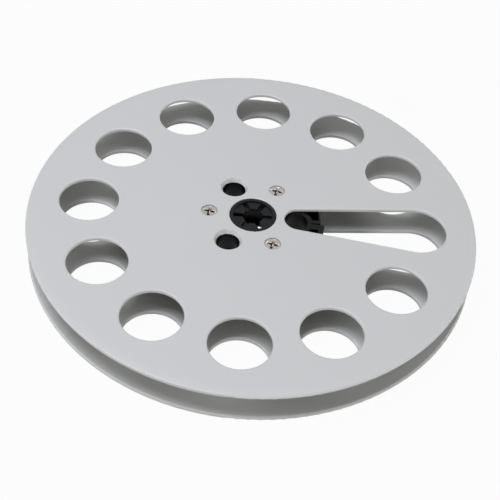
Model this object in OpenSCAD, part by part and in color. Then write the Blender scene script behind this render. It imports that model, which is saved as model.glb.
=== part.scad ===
// Tape reel: two identical pierced flanges screwed to an open moulded hub, with a bush at each end of the bore.
// The origin is on the spindle axis at the underside, +X runs along the threading slot and +Z is up.

/* [Flanges] */
// Outside diameter of both flanges
flange_d = 177.8; // [172:0.2:190]
// Thickness of each flange
flange_t = 1.85; // [1.6:0.05:2.6]
// Clear width for the tape between the flanges
tape_gap = 10.3; // [8:0.1:14]
// Rounding of the rim and of the large openings
edge_r = 0.7; // [0.2:0.05:0.75]
// Width of the band along the rim that falls away outwards
rim_band_w = 2.6; // [1.5:0.1:4]
// Fall of the rim band at its outer side
rim_band_fall = 0.1; // [0.05:0.05:0.3]

/* [Openings in the flanges] */
// Places around the flange, of which the threading slot takes the first
opening_count = 12; // [9:1:14]
// Radius of the round openings and of the slot's wide end
opening_r = 11.75; // [9:0.05:13]
// Distance from the spindle axis to the centres of the openings
opening_pitch_r = 65.4; // [62:0.2:70]
// Radius of the slot's narrow end
slot_tip_r = 5.65; // [5:0.05:8]
// Distance from the spindle axis to the centre of the slot's narrow end
slot_tip_x = 18.3; // [17.5:0.1:22]

/* [Hub] */
// Outside diameter of the drum that the tape winds on
drum_d = 57.4; // [56:0.2:66]
// Thickness of the drum's wall
drum_wall = 2.1; // [1.8:0.1:2.2]
// Outside diameter of the tube round the spindle
core_d = 22; // [21.4:0.1:24]
// Bore of that tube between the bushes
core_bore_d = 15.6; // [13:0.2:15.8]
// Thickness of the radial webs
web_w = 1.7; // [1.2:0.1:2.2]
// Outside diameter of the three screw bosses
boss_d = 8; // [6.5:0.1:9]

/* [Locating holes] */
// Distance from the spindle axis to the locating holes
locating_pitch_r = 17.3; // [17:0.1:18]
// Diameter of the locating holes at a flange's inner face
locating_d = 9.3; // [8:0.1:9.8]
// Diameter of the locating holes at a flange's outer face
locating_mouth_d = 11.2; // [10.4:0.1:11.6]
// Rounding of the locating holes and of the flange's central bore
mouth_edge_r = 0.3; // [0.1:0.05:0.4]
// Wall of the three locating tubes in the hub
locating_wall = 1.95; // [1.3:0.05:2.1]
// Gain in radius where the tubes widen in the lower half
locating_step = 0.9; // [0.3:0.1:1]
// Height of the widened stretch above the hub's lower end
locating_step_h = 3.9; // [2:0.1:5]

/* [Tape end] */
// Width of the slit that grips the end of the tape
slit_w = 0.65; // [0.4:0.05:1]
// Distance of the slit's middle from the plane of the threading slot, towards the near side
slit_offset = 0.125; // [0:0.025:0.3]
// Distance from the spindle axis to the slit's blind end
slit_start_x = 23.4; // [23:0.1:24.5]
// Thickness of the cheek on the near side of the slit
near_cheek_w = 2.75; // [1.7:0.05:4]
// Depth of the recess that takes the folded tape end beyond the slit
recess_depth = 1.55; // [0.8:0.05:1.6]
// Angle at which the recess starts to run out
recess_floor_angle = 15; // [8:1:18]
// Angle at which the drum is back at its full radius
recess_end_angle = 27; // [24:1:40]

/* [Spindle bushes] */
// Diameter of the spindle hole
spindle_d = 8; // [7.6:0.05:9]
// Outside diameter of a bush
bush_d = 18.5; // [17.6:0.1:18.8]
// Length of a bush
bush_h = 3.8; // [3:0.1:4.4]
// Depth of a bush's face below the flange
bush_sink = 0.2; // [0:0.05:0.5]
// Bore of the bush above and below its petals
bush_bore_d = 15.8; // [14.6:0.1:16]
// Depth of the petals below the bush's face
petal_sink = 0.5; // [0.2:0.05:0.8]
// Thickness of the petals
petal_t = 1.5; // [1:0.1:2]
// Width of the slots that pass the spindle's lobes
lobe_slot_w = 1.95; // [1:0.05:1.98]
// Width of the shallow grooves between the lobe slots
petal_groove_w = 1.95; // [1:0.05:2.4]
// Depth of the shallow grooves
petal_groove_depth = 0.5; // [0.2:0.05:0.8]
// Distance from the spindle axis to the outer end of the shallow grooves
petal_groove_r = 7.6; // [6:0.1:7.8]
// Chamfer of the petals
petal_chamfer = 0.25; // [0.1:0.05:0.3]
// Clearance of a bush in the flange
bush_clear = 0.15; // [0.05:0.05:0.3]
// Clearance of a bush in its seat in the hub
seat_clear = 0.02; // [0.01:0.01:0.05]

/* [Screws] */
// Distance from the spindle axis to the screws
screw_pitch_r = 17.4; // [17:0.1:18]
// Diameter of a screw's shank
screw_d = 3; // [2.5:0.1:3.5]
// Diameter of a countersunk head
head_d = 6.4; // [5.6:0.1:6.8]
// Height of the straight edge of a head
head_edge_h = 0.2; // [0.1:0.05:0.3]
// Depth of a head below the flange
head_sink = 0.3; // [0.1:0.05:0.4]
// Length of a screw over its head
screw_l = 5; // [4:0.5:5]
// Length of a screw's pointed end
screw_tip_h = 0.6; // [0.3:0.1:1]
// Span of the cross recess
recess_span = 3.7; // [3:0.1:4]
// Width of the arms of the cross recess
recess_arm_w = 0.8; // [0.5:0.05:1]
// Depth of the cross recess
recess_h = 1.3; // [0.8:0.1:1.6]
// Clearance of a head in its seat
head_clear = 0.08; // [0.04:0.02:0.15]
// Clearance of a shank in its hole
shank_clear = 0.05; // [0.02:0.01:0.1]

/* [Hidden] */
$fn = 96;
over = 1;
// The slot's flanks lie this far inside the tangents of its ends, so that their faces cross cleanly.
flank_inset = 0.016;
reel_h = tape_gap + 2 * flange_t;
flange_r = flange_d / 2;
drum_r = drum_d / 2;
drum_inner_r = drum_r - drum_wall;
bush_r = bush_d / 2;
bush_bore_r = bush_bore_d / 2;
locating_r = locating_d / 2;
tube_bore_r = locating_r + shank_clear;
shank_r = screw_d / 2;
head_r = head_d / 2;
slit_far_y = slit_w / 2 - slit_offset;
locating_angles = [0, 120, 240];
screw_angles = [60, 180, 300];
side_names = ["upper", "lower"];

function polar(r, angle) = [r * cos(angle), r * sin(angle)];

// Whatever faces up at the upper end is turned over for the lower end.
module at_end(side) {
    if (side == "upper") {
        translate([0, 0, reel_h]) children();
    } else {
        mirror([0, 0, 1]) children();
    }
}

// Section through one wall of a flange's opening, with the flange's outer face at 0 and its body below.
// The cut reaches from back to the wall, which may lean, and both edges may be rounded.
module opening_section(back, inner_wall, outer_wall, outer_edge, inner_edge) {
    lean = atan((outer_wall - inner_wall) / flange_t);
    polygon([
        [back, -flange_t - over],
        [inner_wall, -flange_t - over],
        [inner_wall, -flange_t],
        [outer_wall, 0],
        [outer_wall, over],
        [back, over],
    ]);
    edge_x = outer_wall - outer_edge * tan(lean) + outer_edge / cos(lean);
    difference() {
        polygon([
            [edge_x - outer_edge * cos(lean), -outer_edge * (1 - sin(lean))],
            [outer_wall, 0],
            [outer_wall, over],
            [edge_x, over],
            [edge_x, -outer_edge],
        ]);
        translate([edge_x, -outer_edge]) circle(outer_edge);
    }
    if (inner_edge > 0) {
        translate([inner_wall, -flange_t]) difference() {
            translate([0, -over]) square([inner_edge, inner_edge + over]);
            translate([inner_edge, inner_edge]) circle(inner_edge);
        }
    }
}

module round_opening(inner_wall, outer_wall, outer_edge, inner_edge) {
    rotate_extrude() opening_section(0, inner_wall, outer_wall, outer_edge, inner_edge);
}

// Keyhole slot: the wide end is one of the twelve openings, the narrow end bares the tape slit.
module threading_slot() {
    run = opening_pitch_r - slot_tip_x;
    lean = asin((opening_r - slot_tip_r) / run);
    core_inset = slot_tip_r / 4;
    translate([opening_pitch_r, 0, 0]) round_opening(opening_r, opening_r, edge_r, edge_r);
    translate([slot_tip_x, 0, 0]) round_opening(slot_tip_r, slot_tip_r, edge_r, edge_r);
    for (far = [0, 1]) {
        mirror([0, far, 0]) translate(concat([slot_tip_x, 0] + polar(slot_tip_r - flank_inset, 90 + lean), 0))
            rotate([90, 0, 90 + lean]) linear_extrude(run * cos(lean))
                opening_section(-slot_tip_r / 2, 0, 0, edge_r, edge_r);
    }
    translate([0, 0, -flange_t - over]) linear_extrude(flange_t + 2 * over) polygon([
        [slot_tip_x - core_inset, 0],
        [slot_tip_x, 0] + polar(slot_tip_r - core_inset, 90 + lean),
        [opening_pitch_r, 0] + polar(opening_r - core_inset, 90 + lean),
        [opening_pitch_r + core_inset, 0],
        [opening_pitch_r, 0] + polar(opening_r - core_inset, -90 - lean),
        [slot_tip_x, 0] + polar(slot_tip_r - core_inset, -90 - lean),
    ]);
}

// Seat of a countersunk screw, measured down from the flange's outer face.
module screw_seat() {
    seat_r = head_r + head_clear;
    hole_r = shank_r + shank_clear;
    rotate_extrude() polygon([
        [0, over],
        [seat_r, over],
        [seat_r, -head_sink - head_edge_h],
        [hole_r, -head_sink - head_edge_h - (seat_r - hole_r)],
        [hole_r, -reel_h / 2 - over],
        [0, -reel_h / 2 - over],
    ]);
}

// What is taken off a square corner at the origin to round it.
module corner_cut(radius) {
    translate([-radius, -radius]) difference() {
        square(radius + over);
        circle(radius);
    }
}

// Disc of a flange in section, with a faint falling band and rounded corners at the rim.
module flange_section() {
    difference() {
        polygon([
            [0, -flange_t],
            [flange_r, -flange_t],
            [flange_r, -rim_band_fall],
            [flange_r - edge_r, -rim_band_fall],
            [flange_r - rim_band_w, 0],
            [0, 0],
        ]);
        translate([flange_r, -rim_band_fall]) corner_cut(edge_r);
        translate([flange_r, -flange_t]) mirror([0, 1]) corner_cut(edge_r);
    }
}

module flange(side) {
    color("#c6c7c8") at_end(side) difference() {
        rotate_extrude() flange_section();
        for (i = [1 : opening_count - 1]) {
            rotate([0, 0, i * 360 / opening_count]) translate([opening_pitch_r, 0, 0])
                round_opening(opening_r, opening_r, edge_r, edge_r);
        }
        threading_slot();
        round_opening(bush_r + bush_clear, bush_r + bush_clear, mouth_edge_r, 0);
        for (angle = locating_angles) {
            if (angle != 0) {
                rotate([0, 0, angle]) translate([locating_pitch_r, 0, 0])
                    round_opening(locating_r, locating_mouth_d / 2, mouth_edge_r, 0);
            }
        }
        for (angle = screw_angles) {
            rotate([0, 0, angle]) translate([screw_pitch_r, 0, 0]) screw_seat();
        }
    }
}

// Web along a radius, from inside the core's wall to inside the drum's wall.
module web(angle) {
    rotate([0, 0, angle]) translate([core_d / 2 - over / 2, -web_w / 2, 0])
        cube([drum_inner_r + over - core_d / 2, web_w, tape_gap]);
}

// Two cheeks with the slit for the tape end between them.
module tape_cheeks() {
    near_y = slit_far_y - slit_w - near_cheek_w;
    translate([locating_pitch_r, near_y, 0])
        cube([drum_inner_r + over / 2 - locating_pitch_r, slit_far_y + web_w - near_y, tape_gap]);
}

// Cut-back of the drum beyond the slit, with a flat run-out to the full radius.
module tape_end_recess() {
    floor_r = drum_r - recess_depth;
    floor_end = polar(floor_r, recess_floor_angle);
    drum_end = polar(drum_r, recess_end_angle);
    run_out = (drum_end - floor_end) / norm(drum_end - floor_end);
    translate([0, 0, -over]) linear_extrude(tape_gap + 2 * over) difference() {
        polygon([
            [floor_r - 2 * over, slit_far_y - slit_w / 2],
            [drum_r + over, slit_far_y - slit_w / 2],
            polar(drum_r + 3 * over, recess_floor_angle),
            polar(drum_r + 3 * over, recess_end_angle),
            drum_end + over * run_out,
            floor_end - over * run_out,
        ]);
        circle(floor_r);
    }
}

// Seat of a bush in one end of the core.
module bush_seat() {
    translate([0, 0, -bush_sink - bush_h]) cylinder(h = bush_sink + bush_h + over, r = bush_r + seat_clear);
}

module hub() {
    color("#17181a") difference() {
        translate([0, 0, flange_t]) difference() {
            union() {
                difference() {
                    cylinder(h = tape_gap, r = drum_r);
                    translate([0, 0, -over]) cylinder(h = tape_gap + 2 * over, r = drum_inner_r);
                }
                cylinder(h = tape_gap, r = core_d / 2);
                for (angle = locating_angles) {
                    rotate([0, 0, angle]) translate([locating_pitch_r, 0, 0])
                        cylinder(h = tape_gap, r = tube_bore_r + locating_wall);
                    if (angle != 0) {
                        web(angle);
                    }
                }
                for (angle = screw_angles) {
                    rotate([0, 0, angle]) translate([screw_pitch_r, 0, 0]) cylinder(h = tape_gap, r = boss_d / 2);
                    web(angle);
                }
                tape_cheeks();
            }
            translate([0, 0, -over]) cylinder(h = tape_gap + 2 * over, r = core_bore_d / 2);
            for (angle = locating_angles) {
                rotate([0, 0, angle]) translate([locating_pitch_r, 0, -over]) {
                    cylinder(h = tape_gap + 2 * over, r = tube_bore_r);
                    cylinder(h = locating_step_h + over, r = tube_bore_r + locating_step);
                }
            }
            translate([slit_start_x, slit_far_y - slit_w, -over])
                cube([drum_r + over - slit_start_x, slit_w, tape_gap + 2 * over]);
            tape_end_recess();
        }
        for (side = side_names) {
            at_end(side) {
                bush_seat();
                for (angle = screw_angles) {
                    rotate([0, 0, angle]) translate([screw_pitch_r, 0, 0]) screw_seat();
                }
            }
        }
    }
}

// Radial groove in the petals, chamfered along its upper edges, with its top at the petals' faces.
module petal_groove(angle, width, depth) {
    half_w = width / 2;
    start_r = spindle_d / 4;
    rotate([90, 0, 90 + angle]) translate([0, 0, start_r]) linear_extrude(bush_r - start_r) polygon([
        [-half_w, -depth],
        [half_w, -depth],
        [half_w, -petal_chamfer],
        [half_w + petal_chamfer, 0],
        [half_w + petal_chamfer, petal_sink + over],
        [-half_w - petal_chamfer, petal_sink + over],
        [-half_w - petal_chamfer, 0],
        [-half_w, -petal_chamfer],
    ]);
}

module spindle_bush(side) {
    spindle_r = spindle_d / 2;
    color("#232528") at_end(side) translate([0, 0, -bush_sink]) difference() {
        rotate_extrude() difference() {
            polygon([
                [spindle_r, -petal_sink - petal_t],
                [bush_bore_r, -petal_sink - petal_t],
                [bush_bore_r, -bush_h],
                [bush_r, -bush_h],
                [bush_r, 0],
                [bush_bore_r, 0],
                [bush_bore_r, -petal_sink],
                [spindle_r + petal_chamfer, -petal_sink],
                [spindle_r, -petal_sink - petal_chamfer],
            ]);
            translate([bush_r, 0]) corner_cut(mouth_edge_r);
        }
        translate([0, 0, -petal_sink]) {
            intersection() {
                translate([0, 0, -petal_t - over]) cylinder(h = petal_t + petal_sink + 2 * over, r = bush_bore_r);
                union() {
                    for (angle = screw_angles) {
                        petal_groove(angle, lobe_slot_w, petal_t + over);
                    }
                }
            }
            intersection() {
                translate([0, 0, -petal_t]) cylinder(h = petal_t + petal_sink + over, r = petal_groove_r);
                union() {
                    for (angle = locating_angles) {
                        petal_groove(angle, petal_groove_w, petal_groove_depth);
                    }
                }
            }
        }
    }
}

module flange_screw(side, i) {
    color("#c9c3bf") at_end(side) rotate([0, 0, screw_angles[i - 1]])
        translate([screw_pitch_r, 0, -head_sink]) difference() {
            rotate_extrude() polygon([
                [0, 0],
                [head_r, 0],
                [head_r, -head_edge_h],
                [shank_r, -head_edge_h - (head_r - shank_r)],
                [shank_r, screw_tip_h - screw_l],
                [shank_r / 2, -screw_l],
                [0, -screw_l],
            ]);
            intersection() {
                translate([0, 0, -recess_h]) cylinder(h = recess_h + over, r1 = recess_arm_w, r2 = recess_span / 2);
                for (turn = [0, 90]) {
                    rotate([0, 0, turn]) translate([-recess_span / 2, -recess_arm_w / 2, -recess_h])
                        cube([recess_span, recess_arm_w, recess_h + over]);
                }
            }
        }
}

flange("upper");  // upper_flange
flange("lower");  // lower_flange
hub();
spindle_bush("upper");  // spindle_bush_upper
spindle_bush("lower");  // spindle_bush_lower
for (side = side_names) for (i = [1 : len(screw_angles)]) {
    flange_screw(side, i);
}
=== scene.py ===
"""Looks of an audio tape reel: finishes, screws, floor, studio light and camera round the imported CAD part."""

import logging
import math
from collections.abc import Callable
from dataclasses import dataclass, field
from enum import Enum

import bmesh
import bpy
from mathutils import Matrix, Vector


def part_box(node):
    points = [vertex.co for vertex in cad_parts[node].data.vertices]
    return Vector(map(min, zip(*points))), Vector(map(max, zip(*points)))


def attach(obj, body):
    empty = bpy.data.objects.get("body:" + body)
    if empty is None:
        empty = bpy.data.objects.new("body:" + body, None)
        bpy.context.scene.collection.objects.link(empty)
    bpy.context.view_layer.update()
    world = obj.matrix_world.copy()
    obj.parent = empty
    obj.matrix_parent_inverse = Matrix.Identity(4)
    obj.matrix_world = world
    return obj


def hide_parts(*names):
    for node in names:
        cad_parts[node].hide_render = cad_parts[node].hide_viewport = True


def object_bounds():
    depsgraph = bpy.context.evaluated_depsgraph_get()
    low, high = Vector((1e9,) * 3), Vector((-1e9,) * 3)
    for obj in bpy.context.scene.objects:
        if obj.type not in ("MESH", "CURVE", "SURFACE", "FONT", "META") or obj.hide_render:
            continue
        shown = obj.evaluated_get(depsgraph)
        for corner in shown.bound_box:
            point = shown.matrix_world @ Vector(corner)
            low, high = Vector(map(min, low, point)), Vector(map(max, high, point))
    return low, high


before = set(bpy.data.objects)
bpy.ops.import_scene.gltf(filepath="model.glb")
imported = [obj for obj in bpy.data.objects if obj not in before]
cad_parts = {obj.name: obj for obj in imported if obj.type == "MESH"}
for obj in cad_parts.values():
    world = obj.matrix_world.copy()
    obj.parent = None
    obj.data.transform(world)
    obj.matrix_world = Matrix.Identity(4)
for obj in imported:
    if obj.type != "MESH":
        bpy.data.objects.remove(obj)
CAD_BOX = [list(corner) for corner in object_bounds()]
LOG = logging.getLogger("tape_reel")
MM = 0.001
# Nearly all of a noise texture's values lie between these two.
NOISE_SPREAD = (0.3, 0.7)
# The colour sockets of a Mix node have numbers here, since their names stand on its other sockets too.
MIX_FIRST, MIX_SECOND, MIX_RESULT = 6, 7, 2


class End(Enum):
    """The two ends of the reel, which are alike."""

    UPPER = "upper"
    LOWER = "lower"


def linear(hex_colour: str) -> tuple[float, float, float, float]:
    """Turn an sRGB hex colour into the linear colour that a shader takes.

    Args:
        hex_colour: Six hex digits, with or without a leading hash.

    Returns:
        Linear red, green, blue and an alpha of 1.
    """
    digits = hex_colour.lstrip("#")
    parts = [int(digits[i:i + 2], 16) / 255 for i in (0, 2, 4)]
    # The curve and its numbers are those of the sRGB standard.
    return (*[c / 12.92 if c <= 0.04045 else ((c + 0.055) / 1.055) ** 2.4 for c in parts], 1.0)


def add_node(
    tree: bpy.types.NodeTree,
    kind: str,
    settings: dict | None = None,
    values: dict | None = None,
    links: dict | None = None,
) -> bpy.types.Node:
    """Add one node to a tree.

    Args:
        tree: The tree that the node goes into.
        kind: Blender's name for the kind of node.
        settings: The node's own properties by name.
        values: Fixed values of its inputs, by socket name or number.
        links: Outputs of other nodes that feed its inputs, by socket name or number.

    Returns:
        The new node.
    """
    node = tree.nodes.new(kind)
    for name, value in (settings or {}).items():
        setattr(node, name, value)
    for socket, value in (values or {}).items():
        node.inputs[socket].default_value = value
    for socket, source in (links or {}).items():
        tree.links.new(source, node.inputs[socket])
    return node


def empty_material(name: str) -> bpy.types.Material:
    """Make a material whose node tree is empty.

    Args:
        name: The material's name.

    Returns:
        The material.
    """
    material = bpy.data.materials.new(name)
    material.use_nodes = True
    material.node_tree.nodes.clear()
    return material


def seen_rays(tree: bpy.types.NodeTree) -> bpy.types.NodeSocket:
    """Tell the rays that show something, directly, mirrored or through glass, from those that only light it.

    Args:
        tree: The tree that the nodes go into.

    Returns:
        A socket that gives 1 for the rays that show something and 0 for the others.
    """
    path = add_node(tree, "ShaderNodeLightPath")
    seen = path.outputs["Is Camera Ray"]
    for kind in ("Is Glossy Ray", "Is Transmission Ray"):
        either = add_node(tree, "ShaderNodeMath", {"operation": "MAXIMUM"}, links={
            0: seen, 1: path.outputs[kind],
        })
        seen = either.outputs[0]
    return seen


def add_object(name: str, data: bpy.types.ID) -> bpy.types.Object:
    """Add an object to the scene.

    Args:
        name: The object's name.
        data: Its mesh, light or camera.

    Returns:
        The new object.
    """
    thing = bpy.data.objects.new(name, data)
    bpy.context.scene.collection.objects.link(thing)
    return thing


@dataclass(frozen=True)
class MouldedPlastic:
    """An injection moulded plastic: soft clouds in its colour and gloss, and the fine grain of the tool."""

    name: str
    slot: str
    light_hex: str
    dark_hex: str
    roughness: tuple[float, float]
    ior: float
    cloud_mm: float
    grain_mm: float
    grain_depth_mm: float
    cloud_detail: float = 3.0
    cloud_roughness: float = 0.45
    grain_detail: float = 2.0
    grain_roughness: float = 0.6

    def build(self) -> bpy.types.Material:
        """Build the material's nodes.

        Returns:
            The finished material.
        """
        material = empty_material(self.name)
        tree = material.node_tree
        place = add_node(tree, "ShaderNodeTexCoord").outputs["Object"]
        cloud = add_node(tree, "ShaderNodeTexNoise", values={
            "Scale": 1 / (self.cloud_mm * MM), "Detail": self.cloud_detail, "Roughness": self.cloud_roughness,
        }, links={"Vector": place})
        grain = add_node(tree, "ShaderNodeTexNoise", values={
            "Scale": 1 / (self.grain_mm * MM), "Detail": self.grain_detail, "Roughness": self.grain_roughness,
        }, links={"Vector": place})
        colour = add_node(tree, "ShaderNodeMix", {"data_type": "RGBA"}, {
            MIX_FIRST: linear(self.light_hex), MIX_SECOND: linear(self.dark_hex),
        }, {0: cloud.outputs["Fac"]})
        gloss = add_node(tree, "ShaderNodeMapRange", values={
            "From Min": NOISE_SPREAD[0], "From Max": NOISE_SPREAD[1],
            "To Min": self.roughness[0], "To Max": self.roughness[1],
        }, links={"Value": cloud.outputs["Fac"]})
        bump = add_node(tree, "ShaderNodeBump", values={
            "Strength": 1.0, "Distance": self.grain_depth_mm * MM,
        }, links={"Height": grain.outputs["Fac"]})
        shader = add_node(tree, "ShaderNodeBsdfPrincipled", values={"IOR": self.ior}, links={
            "Base Color": colour.outputs[MIX_RESULT],
            "Roughness": gloss.outputs["Result"],
            "Normal": bump.outputs["Normal"],
        })
        add_node(tree, "ShaderNodeOutputMaterial", links={"Surface": shader.outputs["BSDF"]})
        return material


@dataclass(frozen=True)
class PlatedSteel:
    """Nickel plated steel: bright on its faces, duller where the plating is thin down in a punched recess, and
    darker there by painted shade.
    """

    name: str
    slot: str
    colour_hex: str
    # Colour deep in the recess: painted shade, with the duller thin plating there.
    recess_shade_hex: str
    recess_mm: tuple[float, float]
    roughness: tuple[float, float]
    cloud_mm: float
    cloud_detail: float = 3.0

    def build(self) -> bpy.types.Material:
        """Build the material's nodes.

        Returns:
            The finished material.
        """
        material = empty_material(self.name)
        tree = material.node_tree
        place = add_node(tree, "ShaderNodeTexCoord").outputs["Object"]
        cloud = add_node(tree, "ShaderNodeTexNoise", values={
            "Scale": 1 / (self.cloud_mm * MM), "Detail": self.cloud_detail,
        }, links={"Vector": place})
        gloss = add_node(tree, "ShaderNodeMapRange", values={
            "From Min": NOISE_SPREAD[0], "From Max": NOISE_SPREAD[1],
            "To Min": self.roughness[0], "To Max": self.roughness[1],
        }, links={"Value": cloud.outputs["Fac"]})
        height = add_node(tree, "ShaderNodeSeparateXYZ", links={0: place}).outputs["Z"]
        # Painted shade: the colour darkens with depth below the head's face, down into the cross recess; the
        # thin plating there is duller as well.
        sunk = add_node(tree, "ShaderNodeMapRange", {"interpolation_type": "SMOOTHSTEP"}, {
            "From Min": -self.recess_mm[0] * MM, "From Max": -self.recess_mm[1] * MM,
            "To Min": 0.0, "To Max": 1.0,
        }, {"Value": height})
        colour = add_node(tree, "ShaderNodeMix", {"data_type": "RGBA"}, {
            MIX_FIRST: linear(self.colour_hex), MIX_SECOND: linear(self.recess_shade_hex),
        }, {0: sunk.outputs["Result"]})
        shader = add_node(tree, "ShaderNodeBsdfPrincipled", values={"Metallic": 1.0}, links={
            "Base Color": colour.outputs[MIX_RESULT], "Roughness": gloss.outputs["Result"],
        })
        add_node(tree, "ShaderNodeOutputMaterial", links={"Surface": shader.outputs["BSDF"]})
        return material


# Polystyrene moulded against a fine spark-eroded tool: an even light grey with a low, broad sheen.
# The real grain is about 0.05 mm, and is drawn at 0.4 mm so that it still softens the sheen in the render.
# The real IOR is 1.59, and is matched down a little, because the room that it mirrors is white all round.
GREY_POLYSTYRENE = MouldedPlastic(
    name="polystyrene_moulded_light_grey",
    slot="flange_plastic",
    light_hex="#c9c9c6",
    dark_hex="#c6c6c3",
    roughness=(0.4, 0.48),
    ior=1.45,
    cloud_mm=28.0,
    grain_mm=0.4,
    grain_depth_mm=0.002,
)
# ABS moulded in a polished tool: black, with a satin gloss that draws soft upright streaks on the tubes.
# The real IOR is 1.54, and is matched down, because a white mirror image shows most on black.
BLACK_ABS = MouldedPlastic(
    name="abs_moulded_black",
    slot="hub_plastic",
    light_hex="#0d0d0e",
    dark_hex="#08080a",
    roughness=(0.26, 0.36),
    ior=1.24,
    cloud_mm=9.0,
    grain_mm=0.3,
    grain_depth_mm=0.002,
)
# Acetal moulded for the spindle: a little greyer than the hub, waxy and satin.
# The real IOR is 1.48, and is matched down for the same reason.
BLACK_ACETAL = MouldedPlastic(
    name="acetal_moulded_black",
    slot="bush_plastic",
    light_hex="#111214",
    dark_hex="#0b0c0e",
    roughness=(0.34, 0.44),
    ior=1.26,
    cloud_mm=3.0,
    grain_mm=0.25,
    grain_depth_mm=0.003,
)
# Steel with barrel-plated nickel: greyish mirrors on the heads, and a warm dark cross, painted shade over the
# duller thin plating in the recess.
NICKEL_STEEL = PlatedSteel(
    name="steel_nickel_plated",
    slot="screw_metal",
    colour_hex="#aeaba7",
    recess_shade_hex="#6b5f5c",
    recess_mm=(0.12, 0.9),
    roughness=(0.1, 0.22),
    cloud_mm=0.8,
)


def dress(node_name: str, material: bpy.types.Material) -> None:
    """Give a CAD node its finish.

    Args:
        node_name: The CAD node's name.
        material: The finish that takes the place of its plain one.
    """
    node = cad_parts[node_name]
    for slot in node.material_slots:
        slot.material = material
    LOG.info("dressed %s with %s", node_name, material.name)


@dataclass
class Flanges:
    """The two pierced discs that hold the tape on the hub."""

    finish: MouldedPlastic = GREY_POLYSTYRENE

    def dress(self) -> None:
        """Give both flanges their finish."""
        material = self.finish.build()
        for end in End:
            dress(f"{end.value}_flange", material)


@dataclass
class Hub:
    """The open moulding between the flanges, with the drum that the tape winds on."""

    finish: MouldedPlastic = BLACK_ABS

    def dress(self) -> None:
        """Give the hub its finish."""
        dress("hub", self.finish.build())


@dataclass
class SpindleBushes:
    """The bushes whose petals hold the reel on its spindle, their grooves at full depth, in millimetres."""

    finish: MouldedPlastic = BLACK_ACETAL
    # The grooves that score the petals between the slots, which don't pass through them.
    groove_angles: tuple[float, ...] = (0.0, 120.0, 240.0)
    groove_w: float = 1.95
    groove_start_r: float = 3.2
    groove_end_r: float = 7.55
    petals_below_face: float = 0.5
    groove_depth: float = 1.15
    # Corners of the CAD mesh that lie closer together than this are the same corner.
    weld: float = 0.001
    # Edges that turn by more than this many degrees stay sharp.
    sharp_turn: float = 35.0

    def groove_tool(self, face: float) -> bpy.types.Mesh:
        """Build the blocks that cut the grooves of one bush.

        Args:
            face: Height of the bush's outer face in metres.

        Returns:
            A mesh with one block for each groove.
        """
        body = bmesh.new()
        reach = self.petals_below_face + self.groove_depth
        size = ((self.groove_end_r - self.groove_start_r) * MM, self.groove_w * MM, 2 * reach * MM)
        middle = Vector(((self.groove_start_r + self.groove_end_r) / 2 * MM, 0, face))
        block = Matrix.Translation(middle) @ Matrix.Diagonal((*size, 1))
        for angle in self.groove_angles:
            place = Matrix.Rotation(math.radians(angle), 4, "Z") @ block
            bmesh.ops.create_cube(body, size=1.0, matrix=place)
        mesh = bpy.data.meshes.new("groove_tool")
        body.to_mesh(mesh)
        body.free()
        return mesh

    def mesh(self, node_name: str, face: float) -> bpy.types.Mesh:
        """Cut the deeper grooves into a copy of a bush.

        Args:
            node_name: The CAD node that is copied.
            face: Height of the bush's outer face in metres.

        Returns:
            The grooved mesh.
        """
        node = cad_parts[node_name]
        points = [node.matrix_world @ vertex.co for vertex in node.data.vertices]
        plain = bpy.data.meshes.new(f"{node_name}_plain")
        plain.from_pydata(points, [], [list(polygon.vertices) for polygon in node.data.polygons])
        body = bmesh.new()
        body.from_mesh(plain)
        bmesh.ops.remove_doubles(body, verts=body.verts, dist=self.weld * MM)
        body.to_mesh(plain)
        body.free()
        blank = add_object(plain.name, plain)
        tool = add_object("groove_tool", self.groove_tool(face))
        cut = blank.modifiers.new("grooves", "BOOLEAN")
        cut.operation = "DIFFERENCE"
        cut.solver = "EXACT"
        cut.object = tool
        mesh = bpy.data.meshes.new_from_object(blank.evaluated_get(bpy.context.evaluated_depsgraph_get()))
        mesh.name = f"grooved_{node_name}"
        for helper in (blank, tool):
            bpy.data.objects.remove(helper)
        mesh.shade_smooth()
        mesh.set_sharp_from_angle(angle=math.radians(self.sharp_turn))
        return mesh

    def build(self) -> None:
        """Build both bushes in place of their CAD nodes."""
        material = self.finish.build()
        for end in End:
            node = f"spindle_bush_{end.value}"
            low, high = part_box(node)
            mesh = self.mesh(node, high[2] if end is End.UPPER else low[2])
            mesh.materials.clear()
            mesh.materials.append(material)
            piece = add_object(mesh.name, mesh)
            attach(piece, "root")
            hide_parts(node)
            LOG.info("built %s", piece.name)


@dataclass(frozen=True)
class CrossRecess:
    """A cross recess punched into a screw's head, all lengths in millimetres."""

    span: float = 5.2
    floor_span: float = 1.7
    arm_width: float = 1.15
    floor_width: float = 0.62
    depth: float = 1.35
    point: float = 0.25
    edge: float = 0.07
    # Power of the superellipse that rounds an arm's end: the higher, the squarer.
    squareness: float = 7.0
    # Rings of points between the recess's edge and its floor.
    levels: int = 8

    def reach(self, angle: float, depth_share: float, grow: float = 0.0) -> float:
        """Give the distance from the axis to the recess's wall.

        Args:
            angle: Direction from the axis in radians, 0 along an arm.
            depth_share: 0 at the head's face and 1 at the floor of the arms.
            grow: Millimetres added to the arms all round.

        Returns:
            The distance in millimetres.
        """
        length = self.span / 2 + (self.floor_span - self.span) / 2 * depth_share + grow
        half_width = self.arm_width / 2 + (self.floor_width - self.arm_width) / 2 * depth_share + grow
        arms = []
        for turned in (angle, angle + math.pi / 2):
            along = abs(math.cos(turned)) / length
            across = abs(math.sin(turned)) / half_width
            arms.append((along ** self.squareness + across ** self.squareness) ** (-1 / self.squareness))
        return sum(arm ** self.squareness for arm in arms) ** (1 / self.squareness)


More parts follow.
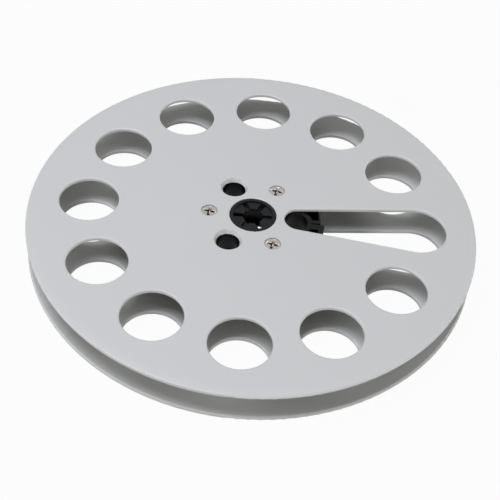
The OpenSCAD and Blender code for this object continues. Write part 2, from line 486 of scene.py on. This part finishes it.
@dataclass
class FlangeScrews:
    """The countersunk screws, three at each end, with cross recesses and cut threads, in millimetres."""

    count: int = 3
    finish: PlatedSteel = NICKEL_STEEL
    recess: CrossRecess = CrossRecess()
    # The way each screw's cross stood when it was tight, in degrees from the threading slot.
    recess_turns: tuple[float, float, float] = (78.0, 82.0, 76.0)
    head_r: float = 3.18
    edge_h: float = 0.2
    edge_round: float = 0.07
    shank_r: float = 1.48
    root_r: float = 1.16
    length: float = 5.0
    tip_h: float = 0.6
    tip_r: float = 0.72
    thread_pitch: float = 1.1
    # Half the width of the valley between two turns of the thread, as a share of its pitch.
    valley_half: float = 0.38
    # Where the rings of points lie: on the recess's floor and on the head's face, as shares of the way out,
    # and round each edge, in degrees. The last two are rings in a turn of the thread and points in a ring.
    floor_shares: tuple[float, ...] = (0.35, 0.75)
    face_shares: tuple[float, ...] = (0.15, 0.4, 0.7, 1.0)
    edge_turns: tuple[float, ...] = (30.0, 60.0, 90.0)
    thread_steps: int = 10
    segments: int = 120
    # Edges that turn by more than this many degrees stay sharp.
    sharp_turn: float = 40.0

    def rings(self) -> list[list[tuple[float, float, float]]]:
        """List the screw's rings of points, from inside the recess over the head and down to the tip.

        Returns:
            Rings of points in millimetres, with the head's face at height 0.
        """
        angles = [2 * math.pi * i / self.segments for i in range(self.segments)]
        recess = self.recess
        rings = []

        def ring(radius: Callable[[float], float], height: Callable[[float], float]) -> None:
            """Add one ring.

            Args:
                radius: Distance from the axis at an angle.
                height: Height at an angle.
            """
            rings.append([(radius(a) * math.cos(a), radius(a) * math.sin(a), height(a)) for a in angles])

        for share in self.floor_shares:
            sunk = recess.depth + recess.point * (1 - share)
            ring(lambda a, s=share: recess.reach(a, 1.0) * s, lambda a, z=sunk: -z)
        for level in range(recess.levels, -1, -1):
            share = level / recess.levels
            sunk = recess.edge + (recess.depth - recess.edge) * share
            ring(lambda a, s=share: recess.reach(a, s), lambda a, z=sunk: -z)
        for turned in self.edge_turns:
            out = recess.edge * (1 - math.cos(math.radians(turned)))
            sunk = recess.edge * (1 - math.sin(math.radians(turned)))
            ring(lambda a, g=out: recess.reach(a, 0.0, g), lambda a, z=sunk: -z)
        flat_r = self.head_r - self.edge_round
        for share in self.face_shares:
            ring(lambda a, s=share: recess.reach(a, 0.0, recess.edge) * (1 - s) + flat_r * s, lambda a: 0.0)
        for turned in self.edge_turns:
            out = self.edge_round * math.sin(math.radians(turned))
            sunk = self.edge_round * (1 - math.cos(math.radians(turned)))
            ring(lambda a, r=flat_r + out: r, lambda a, z=sunk: -z)
        ring(lambda a: self.head_r, lambda a: -self.edge_h)
        neck_z = self.edge_h + self.head_r - self.shank_r
        ring(lambda a: self.shank_r, lambda a: -neck_z)
        thread_end = self.length - self.tip_h
        steps = round((thread_end - neck_z) / self.thread_pitch * self.thread_steps)
        for step in range(1, steps + 1):
            sunk = neck_z + (thread_end - neck_z) * step / steps
            fade = min(1.0, (sunk - neck_z) / self.thread_pitch)
            ring(lambda a, z=sunk, f=fade: self.thread_r(a, z, f), lambda a, z=sunk: -z)
        ring(lambda a: self.tip_r, lambda a: -self.length)
        return rings

    def thread_r(self, angle: float, sunk: float, fade: float) -> float:
        """Give the thread's radius at one place.

        Args:
            angle: Direction from the axis in radians.
            sunk: Depth below the head's face in millimetres.
            fade: 0 where the thread hasn't begun, 1 where it is full.

        Returns:
            The radius in millimetres.
        """
        phase = (sunk / self.thread_pitch + angle / (2 * math.pi)) % 1.0
        valley = max(0.0, 1.0 - abs(phase - 0.5) / self.valley_half)
        return self.shank_r - (self.shank_r - self.root_r) * valley * fade

    def mesh(self, name: str) -> bpy.types.Mesh:
        """Skin the rings of one screw.

        Args:
            name: The mesh's name.

        Returns:
            The mesh in metres.
        """
        body = bmesh.new()
        rings = [[body.verts.new([c * MM for c in point]) for point in ring] for ring in self.rings()]
        for inner, outer in zip(rings, rings[1:]):
            for i in range(self.segments):
                j = (i + 1) % self.segments
                body.faces.new((inner[i], outer[i], outer[j], inner[j]))
        floor = body.verts.new((0, 0, -(self.recess.depth + self.recess.point) * MM))
        tip = body.verts.new((0, 0, -self.length * MM))
        for i in range(self.segments):
            j = (i + 1) % self.segments
            body.faces.new((floor, rings[0][i], rings[0][j]))
            body.faces.new((tip, rings[-1][j], rings[-1][i]))
        mesh = bpy.data.meshes.new(name)
        body.to_mesh(mesh)
        body.free()
        mesh.shade_smooth()
        mesh.set_sharp_from_angle(angle=math.radians(self.sharp_turn))
        return mesh

    def build(self) -> None:
        """Build the six screws in their seats, each in place of its CAD node."""
        material = self.finish.build()
        for end in End:
            for number in range(1, self.count + 1):
                node = f"flange_screw_{end.value}_{number}"
                low, high = (Vector(corner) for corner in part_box(node))
                centre = (low + high) / 2
                turn = Matrix.Rotation(math.radians(self.recess_turns[number - 1]), 4, "Z")
                if end is End.UPPER:
                    place = Matrix.Translation((centre.x, centre.y, high.z)) @ turn
                else:
                    flip = Matrix.Rotation(math.pi, 4, "X")
                    place = Matrix.Translation((centre.x, centre.y, low.z)) @ flip @ turn
                mesh = self.mesh(f"cross_head_screw_{end.value}_{number}")
                mesh.materials.append(material)
                piece = add_object(mesh.name, mesh)
                piece.matrix_world = place
                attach(piece, "root")
                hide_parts(node)
                LOG.info("built %s", piece.name)


@dataclass
class Floor:
    """The plain white table that the reel lies on, a hair below it so that the two faces don't meet."""

    side: float = 12.0
    drop: float = 0.1 * MM
    # Grey, so that it throws little light up into the openings. Its own white goes to the rays that show it.
    colour_hex: str = "#a8a8a8"
    own_white: float = 0.96

    def build(self) -> bpy.types.Object:
        """Build the floor.

        Returns:
            The floor's object.
        """
        half = self.side / 2
        mesh = bpy.data.meshes.new("floor")
        outline = ((-half, -half), (half, -half), (half, half), (-half, half))
        corners = [(x, y, -self.drop) for x, y in outline]
        mesh.from_pydata(corners, [], [(0, 1, 2, 3)])
        floor = add_object("floor", mesh)
        mesh.materials.append(self.material())
        return floor

    def material(self) -> bpy.types.Material:
        """Build white paper that the camera and reflections see nearly as white, with the reel's shadow kept.

        Returns:
            The floor's material.
        """
        material = empty_material("paper_matt_white")
        tree = material.node_tree
        share = add_node(tree, "ShaderNodeMath", {"operation": "MULTIPLY"}, {1: self.own_white}, {
            0: seen_rays(tree),
        })
        paper = add_node(tree, "ShaderNodeBsdfDiffuse", values={"Color": linear(self.colour_hex)})
        white = add_node(tree, "ShaderNodeEmission", values={"Color": (1, 1, 1, 1), "Strength": 1.0})
        mix = add_node(tree, "ShaderNodeMixShader", links={
            0: share.outputs[0], 1: paper.outputs[0], 2: white.outputs[0],
        })
        add_node(tree, "ShaderNodeOutputMaterial", links={"Surface": mix.outputs[0]})
        return material


@dataclass(frozen=True)
class Softbox:
    """A square soft light that faces the reel.

    The azimuth is 0 on the camera's side and 90 on the right. Angles are in degrees, lengths in metres and
    the power in watts.
    """

    name: str
    azimuth: float
    elevation: float
    distance: float
    side: float
    power: float
    colour_hex: str = "#ffffff"

    def build(self) -> bpy.types.Object:
        """Build the light.

        Returns:
            The light's object.
        """
        light = bpy.data.lights.new(self.name, "AREA")
        light.shape = "SQUARE"
        light.size = self.side
        light.energy = self.power
        light.color = linear(self.colour_hex)[:3]
        lamp = add_object(self.name, light)
        azimuth, elevation = math.radians(self.azimuth), math.radians(self.elevation)
        level = math.cos(elevation)
        back = Vector((math.sin(azimuth) * level, -math.cos(azimuth) * level, math.sin(elevation)))
        aim = back.to_track_quat("Z", "Y").to_matrix().to_4x4()
        lamp.matrix_world = Matrix.Translation(back * self.distance) @ aim
        return lamp


@dataclass
class Studio:
    """The light round the reel: a room that looks white but hardly lights, and the softboxes in it."""

    room_strength: float = 0.02
    # The large boxes above give the flat faces their cool plain level. The low strips light the roundings and
    # the gap between the flanges, and don't shine down through the openings.
    softboxes: list[Softbox] = field(default_factory=lambda: [
        Softbox("softbox_top_left", 270.0, 74.0, 1.0, 0.6, 7.6, "#f3f5ff"),
        Softbox("softbox_top_front", 0.0, 80.0, 1.0, 0.6, 0.7, "#f3f5ff"),
        Softbox("softbox_far_right", 120.0, 45.0, 1.0, 0.6, 0.7),
        Softbox("strip_low_front", 0.0, 16.0, 1.0, 0.14, 3.3),
        Softbox("strip_low_left", 280.0, 14.0, 1.0, 0.16, 2.3),
        Softbox("strip_low_right", 80.0, 12.0, 1.0, 0.2, 1.6),
        Softbox("strip_low_far_right", 120.0, 12.0, 1.0, 0.2, 1.8),
    ])

    def build(self) -> None:
        """Build the room and its softboxes."""
        world = bpy.data.worlds.new("studio")
        bpy.context.scene.world = world
        world.use_nodes = True
        tree = world.node_tree
        tree.nodes.clear()
        room, white = [
            add_node(tree, "ShaderNodeBackground", values={"Color": (1, 1, 1, 1), "Strength": strength})
            for strength in (self.room_strength, 1.0)
        ]
        mix = add_node(tree, "ShaderNodeMixShader", links={
            0: seen_rays(tree), 1: room.outputs[0], 2: white.outputs[0],
        })
        add_node(tree, "ShaderNodeOutputWorld", links={"Surface": mix.outputs[0]})
        for softbox in self.softboxes:
            softbox.build()
            LOG.info("lit %s", softbox.name)


@dataclass(frozen=True)
class PhotoCamera:
    """A camera at the photograph's viewpoint, found from the circles of the rims and openings.

    Angles are in degrees, and axis_px is where the spindle axis meets the upper face in the picture.
    """

    frame_px: float = 500.0
    focal_px: float = 1077.78
    sensor_mm: float = 36.0
    elevation: float = 46.08
    roll: float = -5.38
    turn: float = -0.27
    distance: float = 427.86 * MM
    axis_px: tuple[float, float] = (253.01, 214.39)
    clip_start: float = 0.01
    clip_end: float = 50.0

    def build(self, aim_height: float) -> bpy.types.Object:
        """Build the camera and make it the scene's.

        Args:
            aim_height: Height of the point on the spindle axis that the camera was measured against.

        Returns:
            The camera's object.
        """
        tilt, roll = math.radians(self.elevation), math.radians(self.roll)
        right = Vector((1, 0, 0))
        back = Vector((0, -math.cos(tilt), math.sin(tilt)))
        up = back.cross(right)
        x_axis = math.cos(roll) * right - math.sin(roll) * up
        y_axis = math.sin(roll) * right + math.cos(roll) * up
        centre = self.frame_px / 2
        across, down = self.axis_px
        offset = Vector(((across - centre) / self.focal_px, (centre - down) / self.focal_px, -1))
        offset *= self.distance
        place = -(offset.x * x_axis + offset.y * y_axis + offset.z * back)
        turn = Matrix.Rotation(math.radians(-self.turn), 3, "Z")
        aim = Vector((0, 0, aim_height))
        columns = [turn @ x_axis, turn @ y_axis, turn @ back, turn @ place + aim]
        data = bpy.data.cameras.new("photo_camera")
        data.sensor_width = self.sensor_mm
        data.lens = self.focal_px / self.frame_px * self.sensor_mm
        data.clip_start = self.clip_start
        data.clip_end = self.clip_end
        camera = add_object("photo_camera", data)
        rows = [[column[i] for column in columns] for i in range(3)]
        camera.matrix_world = Matrix((*rows, (0, 0, 0, 1)))
        bpy.context.scene.camera = camera
        return camera


def main() -> None:
    """Build the camera, the studio and the reel's finishes in order."""
    logging.basicConfig(level=logging.INFO, format="%(name)s: %(message)s")
    bpy.context.scene.view_settings.view_transform = "Standard"
    PhotoCamera().build(aim_height=CAD_BOX[1][2])
    Floor().build()
    Studio().build()
    for assembly in (Flanges(), Hub()):
        assembly.dress()
    for assembly in (SpindleBushes(), FlangeScrews()):
        assembly.build()


if __name__ == "__main__":
    main()
